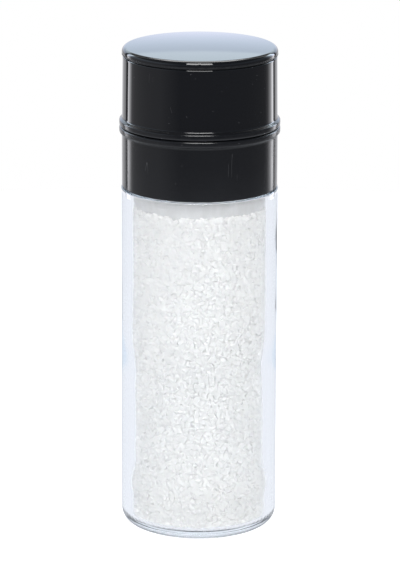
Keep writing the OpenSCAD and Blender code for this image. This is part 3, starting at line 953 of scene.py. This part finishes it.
def makeCamera():
    lens = bpy.data.cameras.new("camera")
    lens.lens = view["focal"]
    lens.sensor_width = 36
    lens.clip_end = 20
    camera = bpy.data.objects.new("camera", lens)
    bpy.context.scene.collection.objects.link(camera)
    tilt = math.radians(view["elevation"])
    aim = Vector((view["aimAside"], 0, view["aimHeight"]))
    camera.location = aim + view["distance"] * Vector((0, -math.cos(tilt), math.sin(tilt)))
    camera.rotation_euler = (math.pi / 2 - tilt, 0, 0)
    camera.rotation_euler.rotate_axis("Z", math.radians(view["roll"]))
    bpy.context.scene.camera = camera


def softbox(name, bearing, elevation, distance, size, power):
    # bearing 0 is over the camera, positive to its right
    a, e = math.radians(bearing), math.radians(elevation)
    where = distance * Vector((math.sin(a) * math.cos(e), -math.cos(a) * math.cos(e), math.sin(e)))
    aim = Vector((0, 0, studio["lampAim"]))
    data = bpy.data.lights.new(name, "AREA")
    data.shape = "RECTANGLE"
    data.size, data.size_y = size
    data.energy = power
    lamp = bpy.data.objects.new(name, data)
    bpy.context.scene.collection.objects.link(lamp)
    lamp.location = aim + where
    lamp.rotation_euler = (aim - lamp.location).to_track_quat("-Z", "Y").to_euler()


def glow(tree, colour, strength):
    return addNode(tree, "ShaderNodeEmission", Color=colour, Strength=strength).outputs[0]


def background(tree, colour, strength):
    return addNode(tree, "ShaderNodeBackground", Color=colour, Strength=strength).outputs[0]


def makeFloor():
    clearSelection()
    bpy.ops.mesh.primitive_circle_add(vertices=128, radius=studio["floorRadius"], fill_type="NGON",
                                      location=(0, 0, 0))
    floor = bpy.context.object
    floor.name = "floor"
    material, tree, bsdf = newMaterial("floorWhite", (0.5, 0.52, 0.55), Roughness=0.7, Specular_IOR_Level=0.1)
    floor.data.materials.append(material)
    # a sheet lit from below as well, so that the object's shadow stays faint,
    # and of one plain colour when seen through the glass
    path = addNode(tree, "ShaderNodeLightPath").outputs
    white = glow(tree, (1, 1, 1), studio["floorGlow"])
    lit = addNode(tree, "ShaderNodeAddShader", bsdf.outputs[0], white).outputs[0]
    shallow = calc(tree, "LESS_THAN", path["Diffuse Depth"], 0.5)
    plain = mixShaders(tree, shallow, lit, glow(tree, studio["throughColour"], 1))
    through = mixShaders(tree, path["Is Transmission Ray"], bsdf.outputs[0], plain)
    surface = mixShaders(tree, path["Is Glossy Ray"], lit, through)
    feedNamed(tree, tree.nodes["Material Output"], Surface=surface)


def ramp(tree, value, stops):
    node = addNode(tree, "ShaderNodeValToRGB", value)
    elements = node.color_ramp.elements
    for i, (position, colour) in enumerate(stops):
        stop = elements[i] if i < 2 else elements.new(position)
        stop.position = position
        stop.color = (*(colour if isinstance(colour, tuple) else (colour,) * 3), 1)
    return node.outputs["Color"]


def makeWorld():
    world = bpy.data.worlds.new("studio")
    bpy.context.scene.world = world
    world.use_nodes = True
    world.cycles.sampling_method = "NONE"
    tree = world.node_tree
    tree.nodes.clear()
    where = addNode(tree, "ShaderNodeTexCoord").outputs["Generated"]
    aside, away, upward = addNode(tree, "ShaderNodeSeparateXYZ", where).outputs
    bearing = calc(tree, "ARCTAN2", aside, calc(tree, "MULTIPLY", away, -1))
    around = calc(tree, "MULTIPLY_ADD", bearing, 1 / tau, 0.5)
    height = remap(tree, upward, -1, 1, 0, 1)
    room = ramp(tree, around, sorted((0.5 + degrees / 360, level) for degrees, level in studio["room"]))
    climb = ramp(tree, height, studio["climb"])
    mirrored = background(tree, mixColours(tree, 1, room, climb, "MULTIPLY"), studio["roomStrength"])
    fill = background(tree, studio["fillColour"], studio["fillStrength"])
    through = background(tree, studio["throughColour"], 1)
    inside = background(tree, studio["insideColour"], studio["insideStrength"])
    seen = background(tree, (1, 1, 1), 1)
    path = addNode(tree, "ShaderNodeLightPath").outputs
    deep = calc(tree, "GREATER_THAN", path["Diffuse Depth"], 0.5)
    glass = mixShaders(tree, deep, through, inside)
    solid = mixShaders(tree, path["Is Diffuse Ray"], mirrored, fill)
    both = mixShaders(tree, path["Is Transmission Ray"], solid, glass)
    addNode(tree, "ShaderNodeOutputWorld", Surface=mixShaders(tree, path["Is Camera Ray"], both, seen))


makeCamera()
makeFloor()
makeWorld()
for i, bearing in enumerate(studio["keyBearings"]):
    softbox("key_%d" % i, bearing, studio["keyElevation"], studio["keyDistance"], studio["keySize"],
            studio["keyPower"])
softbox("back", 180, studio["backElevation"], studio["backDistance"], studio["backSize"], studio["backPower"])
bpy.context.scene.view_settings.view_transform = "Standard"
# light caught in the jar's wall is followed until it leaves
bpy.context.scene.cycles.max_bounces = studio["bounces"]
bpy.context.scene.cycles.glossy_bounces = studio["glassBounces"]
bpy.context.scene.cycles.transmission_bounces = studio["glassBounces"]
print("studio set")
